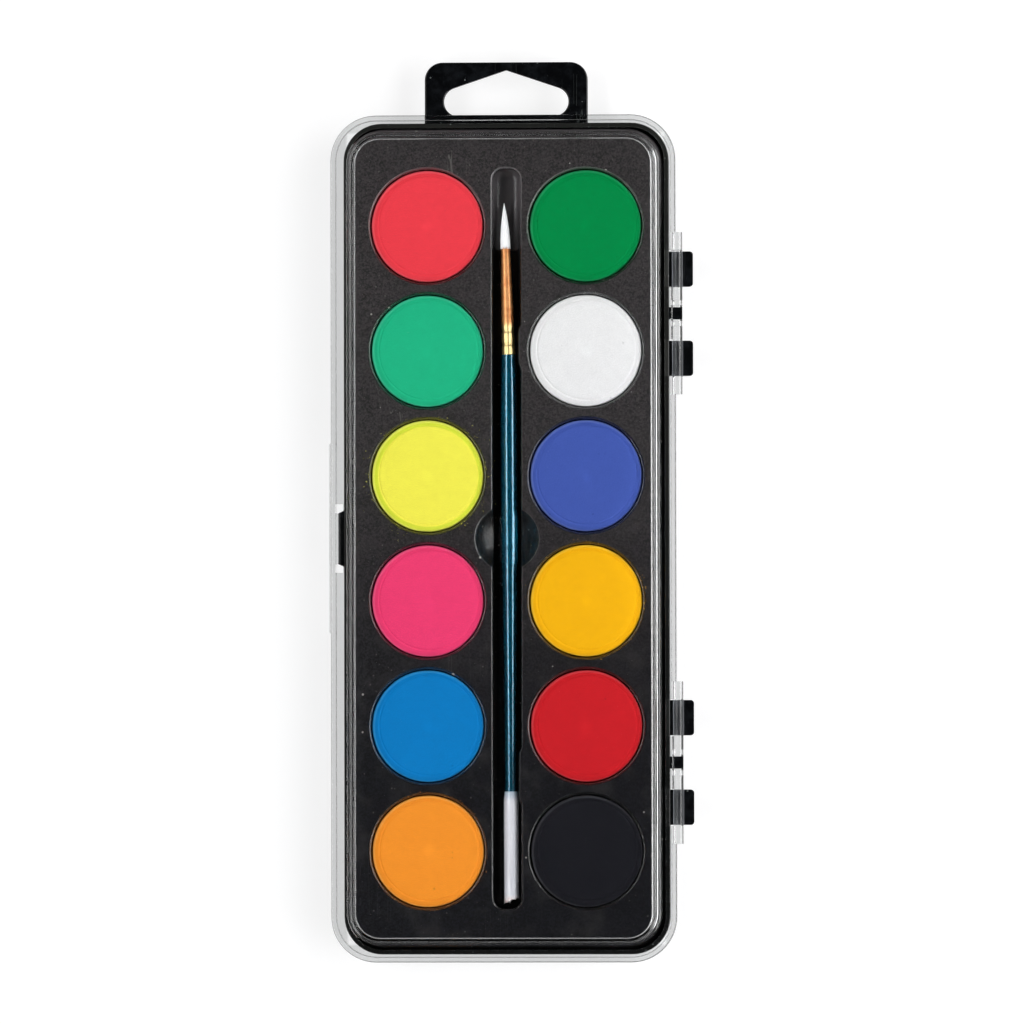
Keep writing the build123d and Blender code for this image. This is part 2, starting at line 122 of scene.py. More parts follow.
TORN_TO, WHOLE_FROM = 0.6 * MM, 2.6 * MM         # along the sleeve: torn, then whole
THIN_LENGTH = 3.0 * MM                           # the sleeve's front, where it thins
PANE_EDGE = 5.2 * MM                             # the lid's outer edge to its raised pane

# Softboxes: side, elevation, distance, width, length in metres, and share of the floor's light
LAMPS = {
    "key_light": (1, math.radians(34), 1.0, 0.62, 1.2, 0.57),
    "fill_light": (-1, math.radians(52), 1.0, 0.3, 1.2, 0.34),
}
FLOOR_SIDE = 12.0
FLOOR_GLOW = 0.73                             # added to the floor where the eye sees it
OVERHEAD_LEVEL = 0.015                        # the room's light from straight above
UNLIT_SIDE_LEVEL = 0.15                       # and from the sides away from the key lamp


def screen(red, green, blue):
    """A colour given as on screen, 0 to 255, in the renderer's linear values."""
    value = np.array([red, green, blue]) / 255
    linear = np.where(value <= 0.04045, value / 12.92, ((value + 0.055) / 1.055) ** 2.4)
    return (*linear.tolist(), 1.0)


# Shader building

def add(tree, kind, sockets=None, **settings):
    """A node of this kind: sockets by name or index get a value or a link, settings are its options."""
    node = tree.nodes.new(kind)
    for name, value in settings.items():
        setattr(node, name, value)
    for name, value in (sockets or {}).items():
        put(tree, node.inputs[name], value)
    return node


def put(tree, socket, value):
    """Links an output to the socket, or sets the socket's own value."""
    if isinstance(value, bpy.types.NodeSocket):
        tree.links.new(value, socket)
    else:
        socket.default_value = value


def calculate(tree, operation, first, second=0.0):
    """One arithmetic step on two numbers or outputs."""
    return add(tree, "ShaderNodeMath", {0: first, 1: second}, operation=operation).outputs[0]


def ramp(tree, value, low, high, at_low=0.0, at_high=1.0):
    """Value rising smoothly from at_low to at_high between low and high."""
    node = add(tree, "ShaderNodeMapRange", {"Value": value, "From Min": low, "From Max": high,
                                            "To Min": at_low, "To Max": at_high},
               interpolation_type="SMOOTHSTEP")
    return node.outputs["Result"]


def noise(tree, vector, scale, detail=2.0, roughness=0.5):
    """Soft noise round 0.5, at this many waves to the metre."""
    node = add(tree, "ShaderNodeTexNoise", {"Vector": vector, "Scale": scale, "Detail": detail,
                                            "Roughness": roughness})
    return node.outputs["Fac"]


def mix(tree, mask, first, second):
    """Colour going from first to second with the mask."""
    node = add(tree, "ShaderNodeMix", data_type="RGBA")
    for socket, value in zip((node.inputs[0], node.inputs[6], node.inputs[7]), (mask, first, second)):
        put(tree, socket, value)
    return node.outputs[2]


def object_place(tree):
    """The shaded point in metres, in the frame of the CAD."""
    return add(tree, "ShaderNodeTexCoord").outputs["Object"]


def bump(tree, height, distance, strength=1.0):
    """A normal tilted by the height, which counts for this many metres."""
    node = add(tree, "ShaderNodeBump", {"Height": height, "Distance": distance,
                                        "Strength": strength})
    return node.outputs["Normal"]


def new_material(name):
    """A material with its tree and its own Principled shader."""
    made = bpy.data.materials.new(name)
    made.use_nodes = True
    return made, made.node_tree, made.node_tree.nodes["Principled BSDF"]


def new_group(name, inputs, outputs):
    """A node group with float or vector inputs, given with their values, and float outputs."""
    tree = bpy.data.node_groups.new(name, "ShaderNodeTree")
    for label, value in inputs.items():
        kind = "NodeSocketFloat" if isinstance(value, float) else "NodeSocketVector"
        socket = tree.interface.new_socket(name=label, in_out="INPUT", socket_type=kind)
        socket.default_value = value
    for label in outputs:
        tree.interface.new_socket(name=label, in_out="OUTPUT", socket_type="NodeSocketFloat")
    return tree, tree.nodes.new("NodeGroupInput").outputs, tree.nodes.new("NodeGroupOutput").inputs


def use(tree, group, sockets):
    """A group placed in a material with its own values."""
    node = add(tree, "ShaderNodeGroup", node_tree=group)
    for name, value in sockets.items():
        put(tree, node.inputs[name], value)
    return node.outputs


def make_specks():
    """Scattered dots: in a share of the cells of a cell pattern, the part within size of the centre."""
    tree, given, out = new_group("specks", {"Place": (0, 0, 0), "Scale": 500.0, "Share": 0.1,
                                            "Size": 0.2}, ["Mask"])
    cells = add(tree, "ShaderNodeTexVoronoi", {"Vector": given["Place"], "Scale": given["Scale"]})
    pick = add(tree, "ShaderNodeSeparateColor", {"Color": cells.outputs["Color"]})
    chosen = calculate(tree, "LESS_THAN", pick.outputs["Red"], given["Share"])
    spread = calculate(tree, "MULTIPLY", given["Size"], pick.outputs["Green"])
    near = calculate(tree, "LESS_THAN", cells.outputs["Distance"], spread)
    put(tree, out["Mask"], calculate(tree, "MULTIPLY", chosen, near))
    return tree


def make_hairlines():
    """Fine scratches: noise stretched along a turned direction, kept where it crosses its middle."""
    tree, given, out = new_group("hairlines", {"Place": (0, 0, 0), "Turn": (0, 0, 0.6),
                                               "Scale": 260.0, "Width": 0.006, "Share": 0.5},
                                 ["Mask"])
    turned = add(tree, "ShaderNodeMapping", {"Vector": given["Place"], "Rotation": given["Turn"],
                                             "Scale": (1.0, 0.035, 1.0)})
    waves = noise(tree, turned.outputs[0], given["Scale"], 1.0)
    off = calculate(tree, "ABSOLUTE", calculate(tree, "SUBTRACT", waves, 0.5))
    line = calculate(tree, "LESS_THAN", off, given["Width"])
    patches = noise(tree, given["Place"], 55.0, 1.0)
    shown = calculate(tree, "LESS_THAN", patches, given["Share"])
    put(tree, out["Mask"], calculate(tree, "MULTIPLY", line, shown))
    return tree


def make_pressed():
    """Pressed powder: fine grain with faint mottling and pits, as a height and a tone from 0 to 1."""
    tree, given, out = new_group("pressed_powder", {"Place": (0, 0, 0)}, ["Height", "Tone"])
    place = given["Place"]
    grain = noise(tree, place, 2900.0, 3.0, 0.65)
    mottle = noise(tree, place, 520.0, 3.0, 0.6)
    pits = add(tree, "ShaderNodeTexVoronoi", {"Vector": place, "Scale": 1100.0})
    pit = ramp(tree, pits.outputs["Distance"], 0.05, 0.3)
    raised = calculate(tree, "ADD", calculate(tree, "MULTIPLY", grain, 0.7),
                       calculate(tree, "MULTIPLY", mottle, 0.2))
    put(tree, out["Height"], calculate(tree, "ADD", raised, calculate(tree, "MULTIPLY", pit, 0.2)))
    put(tree, out["Tone"], calculate(tree, "ADD", calculate(tree, "MULTIPLY", grain, 0.8),
                                     calculate(tree, "MULTIPLY", mottle, 0.2)))
    return tree


def make_spill():
    """Loose pigment round one tablet: sharp crumbs, fewer with distance from its centre."""
    tree, given, out = new_group("pigment_spill", {"Place": (0, 0, 0), "Centre": (0, 0, 0),
                                                   "Inner": 0.0148, "Outer": 0.02}, ["Mask"])
    away = add(tree, "ShaderNodeVectorMath", {0: given["Place"], 1: given["Centre"]},
               operation="DISTANCE").outputs["Value"]
    near = ramp(tree, away, given["Inner"], given["Outer"], 1.0, 0.0)
    crumbs = noise(tree, given["Place"], 1900.0, 2.0, 0.6)
    limit = calculate(tree, "SUBTRACT", 0.8, calculate(tree, "MULTIPLY", near, 0.14))
    crumb = calculate(tree, "GREATER_THAN", crumbs, limit)
    drift = ramp(tree, noise(tree, given["Place"], 190.0, 2.0), 0.46, 0.6)
    put(tree, out["Mask"], calculate(tree, "MULTIPLY", calculate(tree, "MULTIPLY", crumb, drift),
                                     calculate(tree, "GREATER_THAN", near, 0.0)))
    return tree


SPECKS = make_specks()
HAIRLINES = make_hairlines()
PRESSED = make_pressed()
SPILL = make_spill()


def set_shader(tree, shader, values):
    """Sets or links the shader's sockets by name."""
    for name, value in values.items():
        put(tree, shader.inputs[name], value)


def case_material():
    """Glossy black moulding with dust, light rubs and a soft ripple.

    Its rim has a painted grey sheen that grows along the case, and the saddles under the lid's
    rods are painted grey, standing in for the light that the clear rods over them catch.
    """
    made, tree, shader = new_material("case_black")
    place = object_place(tree)
    dust = use(tree, SPECKS, {"Place": place, "Scale": 1100.0, "Share": 0.07, "Size": 0.3})["Mask"]
    rubs = use(tree, HAIRLINES, {"Place": place, "Turn": (0, 0, 0.4), "Width": 0.003,
                                 "Share": 0.44})["Mask"]
    marks = calculate(tree, "MAXIMUM", dust, calculate(tree, "MULTIPLY", rubs, 0.25))
    ripple = noise(tree, place, 60.0, 2.0)
    cloud = noise(tree, place, 420.0, 3.0, 0.65)
    black = mix(tree, ramp(tree, cloud, 0.4, 0.7), screen(8, 9, 11), screen(22, 24, 27))
    parts = add(tree, "ShaderNodeSeparateXYZ", {"Vector": place})
    rim_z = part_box("case")[1][2]
    rim = ramp(tree, parts.outputs["Z"], rim_z - RIM_ROUND, rim_z - 0.02 * MM)
    walls = calculate(tree, "LESS_THAN", parts.outputs["X"], CASE_SIDE)
    rim = calculate(tree, "MULTIPLY", rim, walls)
    # Painted sheen: the rim's top is painted grey, more strongly along the case.
    painted_sheen = ramp(tree, parts.outputs["Y"], RIM_SHEEN_FROM, RIM_SHEEN_TO, 0.35, 0.9)
    black = mix(tree, calculate(tree, "MULTIPLY", rim, painted_sheen), black, screen(50, 50, 48))
    base = mix(tree, marks, black, screen(92, 98, 96))
    # Painted sheen: the saddles under the lid's rods are painted grey for the light the clear rods
    # catch.
    hinge = next(joint for joint in frame["joints"] if joint["name"] == "lid_hinge")["pos_m"]
    across = add(tree, "ShaderNodeVectorMath", {0: place, 1: (1, 0, 1)}, operation="MULTIPLY")
    away = add(tree, "ShaderNodeVectorMath", {0: across.outputs[0], 1: (hinge[0], 0, hinge[2])},
               operation="DISTANCE").outputs["Value"]
    worn = calculate(tree, "LESS_THAN", away, ROD_REACH)
    streak = add(tree, "ShaderNodeMapping", {"Vector": place, "Scale": (1.0, 0.1, 1.0)})
    rod_sheen = mix(tree, noise(tree, streak.outputs[0], 1500.0, 3.0), screen(84, 86, 92),
                screen(176, 178, 184))
    set_shader(tree, shader, {
        "Base Color": mix(tree, worn, base, rod_sheen),
        "Roughness": ramp(tree, calculate(tree, "MAXIMUM", marks, worn), 0.0, 1.0, 0.18, 0.5),
        "Normal": bump(tree, ripple, 0.05 * MM),
        "IOR": 1.5,
    })
    return made


def insert_colour(tree, place, along, deck, grain):
    """Grainy deck with a painted sheen along it, plain hollows with a painted highlight at the
    channel's end.
    """
    cloud = noise(tree, place, 150.0, 3.0, 0.6)
    plain_deck = mix(tree, ramp(tree, grain, 0.38, 0.62), screen(1, 1, 3), screen(21, 21, 26))
    sheened_deck = mix(tree, ramp(tree, grain, 0.38, 0.62), screen(28, 26, 27), screen(60, 56, 57))
    # Painted sheen: the deck is painted lighter along the case, towards the hang tab.
    painted_sheen = ramp(tree, along, DECK_SHEEN_FROM, DECK_SHEEN_TO)
    top = mix(tree, painted_sheen, plain_deck, sheened_deck)
    top = mix(tree, ramp(tree, cloud, 0.45, 0.75, 0.0, 0.3), top, screen(56, 54, 54))
    # Painted highlight: the channel's end is painted lighter.
    channel_glint = ramp(tree, along, CHANNEL_GLINT_FROM, CHANNEL_GLINT_TO)
    hollow = mix(tree, channel_glint, screen(17, 16, 16), screen(90, 86, 88))
    return mix(tree, deck, hollow, top)


def add_gap_shade(tree, place, base):
    """Painted shade in the gap round each tablet: a ring of the paint's colour, darkened."""
    flat = add(tree, "ShaderNodeVectorMath", {0: place, 1: (1, 1, 0)}, operation="MULTIPLY")
    for name, colour in PAINTS.items():
        low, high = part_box("paint_" + name)
        middle = ((low[0] + high[0]) / 2, (low[1] + high[1]) / 2, 0)
        away = add(tree, "ShaderNodeVectorMath", {0: flat.outputs[0], 1: middle},
                   operation="DISTANCE").outputs["Value"]
        radius = (high[0] - low[0]) / 2
        # Painted shade in the gap round the tablet, in its colour darkened.
        gap_shade = ramp(tree, away, radius + GAP_SHADE_FROM, radius + GAP_SHADE_TO, 0.8, 0.0)
        base = mix(tree, gap_shade, base, screen(*[0.4 * part for part in colour]))
    return base


def add_wear(tree, place, base):
    """Hair scratches, fluff and dust."""
    for turn, width, strength in SCRATCHES:
        lines = use(tree, HAIRLINES, {"Place": place, "Turn": (0, 0, turn), "Width": width,
                                      "Share": 0.4})["Mask"]
        base = mix(tree, calculate(tree, "MULTIPLY", lines, strength), base, screen(150, 146, 142))
    dust = use(tree, SPECKS, {"Place": place, "Scale": 420.0, "Share": 0.07, "Size": 0.17})["Mask"]
    fluff = use(tree, SPECKS, {"Place": place, "Scale": 1250.0, "Share": 0.07, "Size": 0.3})["Mask"]
    base = mix(tree, calculate(tree, "MULTIPLY", fluff, 0.3), base, screen(120, 116, 112))
    return mix(tree, calculate(tree, "MULTIPLY", dust, 0.7), base, screen(176, 172, 166))


def add_spills(tree, place, base):
    """Loose pigment round the tablets that have shed some."""
    for name, (amount, reach) in SPILLS.items():
        low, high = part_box("paint_" + name)
        centre = (low + high) / 2
        spill = use(tree, SPILL, {"Place": place, "Centre": centre, "Outer": reach})["Mask"]
        tint = screen(*[0.8 * part + 30 for part in PAINTS[name]])
        base = mix(tree, calculate(tree, "MULTIPLY", spill, amount), base, tint)
    return base


def insert_material():
    """Charcoal moulding: grainy on the deck, sleek on its rounded edges, smoother in its hollows.

    The deck has a painted sheen towards the hang tab. Painted shade rings the tablets; loose pigment
    lies round them.
    """
    made, tree, shader = new_material("insert_charcoal")
    place = object_place(tree)
    parts = add(tree, "ShaderNodeSeparateXYZ", {"Vector": place})
    deck_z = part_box("palette_insert")[1][2]
    deck = ramp(tree, parts.outputs["Z"], deck_z - DECK_EDGE, deck_z - 0.1 * DECK_EDGE)
    edges = ramp(tree, parts.outputs["Z"], deck_z - HOLLOW_WALL, deck_z - HOLLOW_EDGE, 0.45, 0.9)
    grain = noise(tree, place, 2100.0, 3.0, 0.75)
    base = insert_colour(tree, place, parts.outputs["Y"], deck, grain)
    for layer in (add_gap_shade, add_wear, add_spills):
        base = layer(tree, place, base)
    grainy = calculate(tree, "MULTIPLY", grain, calculate(tree, "ADD", deck, 0.1))
    shine = calculate(tree, "SUBTRACT", edges, calculate(tree, "MULTIPLY", deck, 0.7))
    set_shader(tree, shader, {
        "Base Color": base,
        "Roughness": ramp(tree, deck, 0.0, 1.0, 0.24, 0.4),
        "Specular IOR Level": shine,
        "Normal": bump(tree, grainy, 0.03 * MM, 0.6),
    })
    return made


def clear_material():
    """Clear moulding with hair scratches, tinted greyer in its flange as painted shade.

    Light passes it, so what lies under it stays lit.
    """
    made, tree, shader = new_material("lid_clear")
    place = object_place(tree)
    lines = use(tree, HAIRLINES, {"Place": place, "Turn": (0, 0, 0.9), "Width": 0.0008,
                                  "Share": 0.36})["Mask"]
    haze = ramp(tree, noise(tree, place, 70.0, 2.0), 0.3, 0.75, 0.0, 0.01)
    low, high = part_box("lid")
    reach = add(tree, "ShaderNodeVectorMath", {0: place, 1: ((low[0] + high[0]) / 2, 0, 0)},
                operation="SUBTRACT")
    reach = add(tree, "ShaderNodeVectorMath", {0: reach.outputs[0]}, operation="ABSOLUTE")
    apart = add(tree, "ShaderNodeSeparateXYZ", {"Vector": reach.outputs[0]})
    half_x, half_y = (high[0] - low[0]) / 2 - PANE_EDGE, (high[1] - low[1]) / 2 - PANE_EDGE
    # Painted shade: the flange is tinted greyer, for the shadow under it.
    flange_shade = calculate(tree, "MAXIMUM", ramp(tree, apart.outputs["X"], half_x, half_x + MM),
                       ramp(tree, apart.outputs["Y"], half_y, half_y + MM))
    set_shader(tree, shader, {
        "Base Color": mix(tree, flange_shade, screen(250, 251, 251), screen(221, 222, 222)),
        "Roughness": calculate(tree, "ADD", haze, calculate(tree, "MULTIPLY", lines, 0.06)),
        "Transmission Weight": 1.0,
        "IOR": 1.52,
    })
    through = add(tree, "ShaderNodeBsdfTransparent", {"Color": screen(248, 249, 249)})
    blend = add(tree, "ShaderNodeMixShader", {
        0: add(tree, "ShaderNodeLightPath").outputs["Is Shadow Ray"],
        1: shader.outputs[0],
        2: through.outputs[0],
    })
    put(tree, tree.nodes["Material Output"].inputs["Surface"], blend.outputs[0])
    return made


def paint_material(name, colour):
    """A pressed cake: finely grained, a shade deeper in its margin and painted lighter along its bevel.

    The margin's shade comes in over the press ring, round a point a little off the middle.
    """
    made, tree, shader = new_material("paint_" + name)
    place = object_place(tree)
    low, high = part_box("paint_" + name)
    radius = (high[0] - low[0]) / 2
    pressed = use(tree, PRESSED, {"Place": place})
    deep = screen(*[0.955 * part for part in colour])
    light = screen(*[min(255, part * 1.02 + 2) for part in colour])
    body = mix(tree, ramp(tree, pressed["Tone"], 0.3, 0.7), deep, light)
    middle = ((low[0] + high[0]) / 2 + MARGIN_SHIFT[0], (low[1] + high[1]) / 2 + MARGIN_SHIFT[1],
              high[2])
    away = add(tree, "ShaderNodeVectorMath", {0: place, 1: middle}, operation="DISTANCE")
    margin = ramp(tree, away.outputs["Value"], radius - MARGIN_FROM, radius - MARGIN_TO)
    tone = MARGIN_TONES.get(name, (0.96, 0.96, 0.96))
    shaded = screen(*[share * part for share, part in zip(tone, colour)])
    body = mix(tree, calculate(tree, "MULTIPLY", margin, 0.8), body, shaded)
    # Painted highlight: the tablet's bevel is painted pale all round.
    bevel_highlight = ramp(tree, away.outputs["Value"], radius - BEVEL_LIGHT_FROM, radius - BEVEL_LIGHT_TO)
    pale = screen(*[min(255, part * 0.86 + 48) for part in colour])
    body = mix(tree, calculate(tree, "MULTIPLY", bevel_highlight, 0.6), body, pale)
    crumbs = use(tree, SPECKS, {"Place": place, "Scale": 620.0, "Share": 0.05, "Size": 0.2})["Mask"]
    dark = screen(*[0.78 * part for part in colour])
    set_shader(tree, shader, {
        "Base Color": mix(tree, calculate(tree, "MULTIPLY", crumbs, 0.6), body, dark),
        "Roughness": 0.9,
        "Specular IOR Level": 0.06,
        "Normal": bump(tree, pressed["Height"], 0.04 * MM, 0.6),
    })
    return made


def along_grain(tree, place, share):
    """Place squeezed along the brush, so that a pattern on it runs lengthwise."""
    return add(tree, "ShaderNodeMapping", {"Vector": place, "Scale": (1.0, share, 1.0)}).outputs[0]


def handle_material():
    """Metallic blue lacquer over turned wood, with flakes and small nicks."""
    made, tree, shader = new_material("handle_blue")
    place = object_place(tree)
    flakes = noise(tree, place, 3000.0, 2.0, 0.7)
    streaks = noise(tree, along_grain(tree, place, 0.05), 900.0, 2.0)
    blue = mix(tree, ramp(tree, flakes, 0.35, 0.65), screen(2, 78, 106), screen(18, 132, 158))
    blue = mix(tree, ramp(tree, streaks, 0.45, 0.75, 0.0, 0.5), blue, screen(0, 48, 76))
    nicks = use(tree, SPECKS, {"Place": place, "Scale": 420.0, "Share": 0.05, "Size": 0.16})["Mask"]
    set_shader(tree, shader, {
        "Base Color": mix(tree, nicks, blue, screen(8, 34, 52)),
        "Metallic": 0.7,
        "Roughness": ramp(tree, streaks, 0.2, 0.8, 0.13, 0.21),
        "Coat Weight": 1.0,
        "Coat Roughness": 0.04,
        "Coat IOR": 2.0,
        "Coat Tint": screen(214, 248, 255),
        "Normal": bump(tree, flakes, 0.008 * MM, 0.5),
    })
    return made


def ferrule_material():
    """Drawn copper-gold tube with lengthwise draw lines, its burnished crimps painted paler as a
    highlight.
    """
    made, tree, shader = new_material("ferrule_copper")
    place = object_place(tree)
    draw = noise(tree, along_grain(tree, place, 0.04), 2600.0, 3.0)
    tarnish = noise(tree, place, 500.0, 3.0)
    metal = mix(tree, ramp(tree, tarnish, 0.4, 0.7), screen(250, 180, 120), screen(232, 150, 92))
    neck_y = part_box("brush_ferrule")[0][1]
    parts = add(tree, "ShaderNodeSeparateXYZ", {"Vector": place})
    # The crimps are burnished, and painted paler as a highlight of their facets.
    burnished_and_glint = ramp(tree, parts.outputs["Y"], neck_y + BRIGHT_TO, neck_y + PLAIN_FROM, 1.0, 0.0)
    set_shader(tree, shader, {
        "Base Color": mix(tree, burnished_and_glint, metal, screen(255, 226, 160)),
        "Metallic": 0.85,
        "Roughness": calculate(tree, "SUBTRACT", ramp(tree, draw, 0.3, 0.7, 0.42, 0.52),
                               calculate(tree, "MULTIPLY", burnished_and_glint, 0.16)),
        "Normal": bump(tree, draw, 0.01 * MM, 0.5),
    })
    return made


def bristle_material():
    """White hair, with a painted glow that keeps it white in the shaded channel."""
    made, tree, shader = new_material("bristle_white")
    place = object_place(tree)
    hairs = noise(tree, along_grain(tree, place, 0.03), 5200.0, 2.0)
    set_shader(tree, shader, {
        "Base Color": mix(tree, ramp(tree, hairs, 0.3, 0.7), screen(246, 246, 250),
                          screen(255, 255, 255)),
        "Roughness": 0.5,
        # Painted glow: a little white emission keeps the hair white in the channel's shade.
        "Emission Color": screen(255, 255, 255),
        "Emission Strength": 0.26,
        "Normal": bump(tree, hairs, 0.01 * MM, 0.4),
    })
    return made


def sleeve_material():
    """Pale milky tube, streaked, a little bluer where it thins over the handle."""
    made, tree, shader = new_material("sleeve_pale")
    place = object_place(tree)
    low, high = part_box("brush_end_sleeve")
    parts = add(tree, "ShaderNodeSeparateXYZ", {"Vector": place})
    streaks = noise(tree, along_grain(tree, place, 0.05), 1500.0, 3.0)
    pale = mix(tree, ramp(tree, streaks, 0.3, 0.7), screen(222, 222, 232), screen(240, 240, 246))
    thin = ramp(tree, parts.outputs["Y"], high[1] - THIN_LENGTH, high[1], 0.0, 0.45)
    cut = ramp(tree, parts.outputs["Y"], low[1] + TORN_TO, low[1] + WHOLE_FROM, 1.0, 0.0)
    rough = noise(tree, place, 1500.0, 3.0)
    torn = mix(tree, ramp(tree, rough, 0.42, 0.6), screen(232, 206, 206), screen(255, 252, 250))
    ends = mix(tree, cut, mix(tree, thin, pale, screen(112, 172, 200)), torn)
    set_shader(tree, shader, {
        "Base Color": ends,
        "Roughness": 0.3,
        "Coat Weight": 0.7,
        "Coat Roughness": 0.08,
        "Normal": bump(tree, calculate(tree, "MULTIPLY", rough, cut), 0.3 * MM, 0.7),
    })
    return made


def glue_material():
    """Cured milky adhesive with small bubbles."""
    made, tree, shader = new_material("glue")
    place = object_place(tree)
    bubbles = use(tree, SPECKS, {"Place": place, "Scale": 800.0, "Share": 0.4, "Size": 0.4})["Mask"]
    set_shader(tree, shader, {
        "Base Color": mix(tree, bubbles, screen(214, 208, 190), screen(240, 238, 230)),
        "Roughness": 0.35,
        "Subsurface Weight": 0.15,
        "Subsurface Scale": 0.5 * MM,
        "Normal": bump(tree, bubbles, 0.02 * MM, 0.5),
    })
    return made


def dress(node, made):
    """Gives a carried-over CAD node its finished material."""
    target = nodes[node]
    if not target.material_slots:
        target.data.materials.append(made)
    for place in target.material_slots:
        place.material = made


# Surfaces

def grid_faces(rows, columns, count=1):
    """Quads and end fans of closed tubes: corner numbers worked out as whole arrays."""
    row, column = np.meshgrid(np.arange(rows - 1), np.arange(columns), indexing="ij")
    beside = (column + 1) % columns
    quads = np.stack([row * columns + column, row * columns + beside,
                      (row + 1) * columns + beside, (row + 1) * columns + column], axis=-1)
    quads = quads.reshape(-1, 4)
    ring = np.arange(columns)
    last = (rows - 1) * columns
    first_pole = rows * columns
    low = np.stack([np.full(columns, first_pole), (ring + 1) % columns, ring], axis=-1)
    high = np.stack([np.full(columns, first_pole + 1), last + ring,
                     last + (ring + 1) % columns], axis=-1)
    offset = np.arange(count)[:, None, None] * (rows * columns + 2)
    return (quads + offset).reshape(-1, 4), (np.concatenate([low, high]) + offset).reshape(-1, 3)


def closed_tubes(name, rings, made):
    """Closed tubes from an array (tube, row, column, xyz); each end closes on its ring's mean."""
    count, rows, columns = rings.shape[:3]
    poles = np.stack([rings[:, 0].mean(axis=1), rings[:, -1].mean(axis=1)], axis=1)
    points = np.concatenate([rings.reshape(count, -1, 3), poles], axis=1).reshape(-1, 3)
    quads, fans = grid_faces(rows, columns, count)
    first = rings[0]
    axis = first[-1].mean(axis=0) - first[0].mean(axis=0)
    middle = first[rows // 2]
    turn = np.cross(middle[0] - middle.mean(axis=0), middle[1] - middle.mean(axis=0))
    if turn @ axis < 0:
        quads, fans = quads[:, ::-1], fans[:, ::-1]
    mesh = bpy.data.meshes.new(name)
    mesh.from_pydata(points.tolist(), [], quads.tolist() + fans.tolist())
    mesh.polygons.foreach_set("use_smooth", [True] * len(mesh.polygons))
    mesh.materials.append(made)
    piece = bpy.data.objects.new(name, mesh)
    bpy.context.scene.collection.objects.link(piece)
    return piece


def tablet(name, made):
    """A pressed cake: a profile of foot, wall, shoulder, margin, press ring and flat top, turned.

    Shoulder radius and height vary by a few hundredths of a millimetre, with two sine waves round
    the cake. The press ring is a shallow groove, moved off the middle by a cosine of the angle.
    """
    columns = 160
    wall_inset = 0.1 * MM                 # from the CAD node's wall to the cake's
    wear_in, wear_down = 0.07, 0.05       # millimetres at most
    ring_shift, ring_turn = 0.35 * MM, 0.6
    low, high = (np.array(corner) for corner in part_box("paint_" + name))
    centre = (low + high) / 2
    radius = (high[0] - low[0]) / 2 - wall_inset
    turn = np.linspace(0, 2 * np.pi, columns, endpoint=False)
    phase = 900 * centre[0] + 700 * centre[1]      # so that no two cakes are worn alike
    worn = 0.5 + 0.25 * (np.sin(7 * turn + phase) + np.sin(17 * turn + 2 * phase))
    # The profile in millimetres: inset from the wall, drop from the top, shares of wear and of shift
    profile = np.array([
        (8.0, 4.0, 0, 0), (0.6, 4.0, 0, 0), (0.3, 3.9, 0, 0), (0.0, 3.5, 0, 0), (0.0, 1.0, 0, 0),
        (0.0, 0.62, 1, 0), (0.07, 0.42, 1, 0), (0.22, 0.3, 1, 0), (0.5, 0.22, 0, 0),
        (1.15, 0.1, 0, 0.6), (1.42, 0.07, 0, 1), (1.5, 0.13, 0, 1), (1.6, 0.13, 0, 1),
        (1.7, 0.04, 0, 1), (2.1, 0.02, 0, 0.8), (5.0, 0.03, 0, 0.3), (9.0, 0.05, 0, 0),
        (13.0, 0.06, 0, 0), (14.4, 0.06, 0, 0)])
    inset, drop, wear, offset = (column[:, None] for column in profile.T)
    reach = radius - (inset + wear_in * wear * worn) * MM + ring_shift * offset * np.cos(
        turn - ring_turn)
    height = high[2] - (drop + wear_down * wear * worn) * MM
    rings = np.stack([centre[0] + reach * np.cos(turn), centre[1] + reach * np.sin(turn),
                      np.broadcast_to(height, reach.shape)], axis=-1)
    piece = closed_tubes("cake_" + name, rings[None], made)
    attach(piece, "case")
    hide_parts("paint_" + name)


def brush_axis(node):
    """Middle of a brush piece's rear and front ends: the centre of its points near each end."""
    end_depth = 0.15 * MM
    points = np.array([corner.co for corner in nodes[node].data.vertices])
    ends = []
    for limit in (points[:, 1].min(), points[:, 1].max()):
        near = points[np.abs(points[:, 1] - limit) < end_depth]
        ends.append((near.min(axis=0) + near.max(axis=0)) / 2)
    return ends


def round_axis(start, end, along, reach, turn):
    """Points at distance reach from the axis, at heights along it, with turn measured from the side."""
    ahead = (end - start) / np.linalg.norm(end - start)
    side = np.cross(ahead, [0, 0, 1])
    side /= np.linalg.norm(side)
    up = np.cross(side, ahead)
    across = np.cos(turn)[..., None] * side + np.sin(turn)[..., None] * up
    return start + along[..., None] * ahead + reach[..., None] * across


